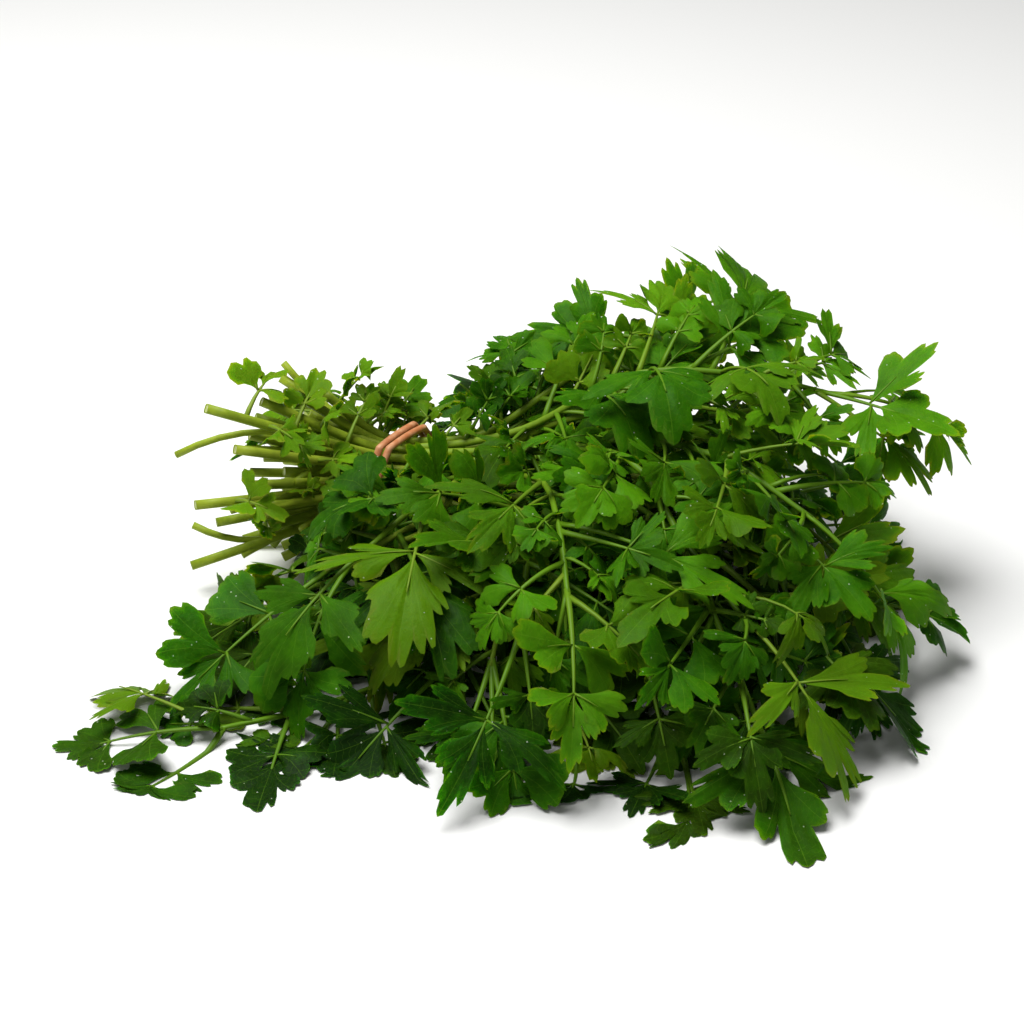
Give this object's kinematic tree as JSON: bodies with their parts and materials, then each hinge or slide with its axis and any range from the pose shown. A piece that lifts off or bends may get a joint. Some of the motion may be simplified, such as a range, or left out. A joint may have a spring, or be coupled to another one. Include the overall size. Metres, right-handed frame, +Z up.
{
  "type": "parsley bunch",
  "caption": "Bunch of fresh flat-leaved parsley lying on its side, its long stems held by a doubled rubber band and its lobed leaves fanned out over the surface.",
  "frame": {"origin": "on the surface that the bunch lies on, under the middle of its box", "axes": "+Z up from the surface; +X along the longest extent, from the cut ends' side towards the foliage; +Y level, away from the side with the front sprays"},
  "size_m": [0.2642, 0.236, 0.0904],
  "materials": {
    "leaf": "fresh leaf, soft satin gloss on the upper side, paler and matte below",
    "stem": "fresh ribbed stem, yellow-green, satin",
    "rubber_band": "plain tan rubber, slightly dull"
  },
  "bodies": {
    "root": {"leafy_stem_01": "leaf", "leafy_stem_02": "leaf", "leafy_stem_03": "leaf", "leafy_stem_04": "leaf", "leafy_stem_05": "leaf", "leafy_stem_06": "leaf", "leafy_stem_07": "leaf", "leafy_stem_08": "leaf", "leafy_stem_09": "leaf", "leafy_stem_10": "leaf", "leafy_stem_11": "leaf", "leafy_stem_12": "leaf", "leafy_stem_13": "leaf", "leafy_stem_14": "leaf", "leafy_stem_15": "leaf", "leafy_stem_16": "leaf", "leafy_stem_17": "leaf", "leafy_stem_18": "leaf", "leafy_stem_19": "leaf", "leafy_stem_20": "leaf", "leafy_stem_21": "leaf", "leafy_stem_22": "leaf", "leafy_stem_23": "leaf", "leafy_stem_24": "leaf", "leafy_stem_25": "leaf", "leafy_stem_26": "leaf", "leafy_stem_27": "leaf", "leafy_stem_28": "leaf", "leafy_stem_29": "leaf", "leafy_stem_30": "leaf", "leafy_stem_31": "leaf", "leafy_stem_32": "leaf", "leafy_stem_33": "leaf", "leafy_stem_34": "leaf", "leafy_stem_35": "leaf", "leafy_stem_36": "leaf", "leafy_stem_37": "leaf", "rubber_band": "rubber_band"}
  },
  "joints": []
}
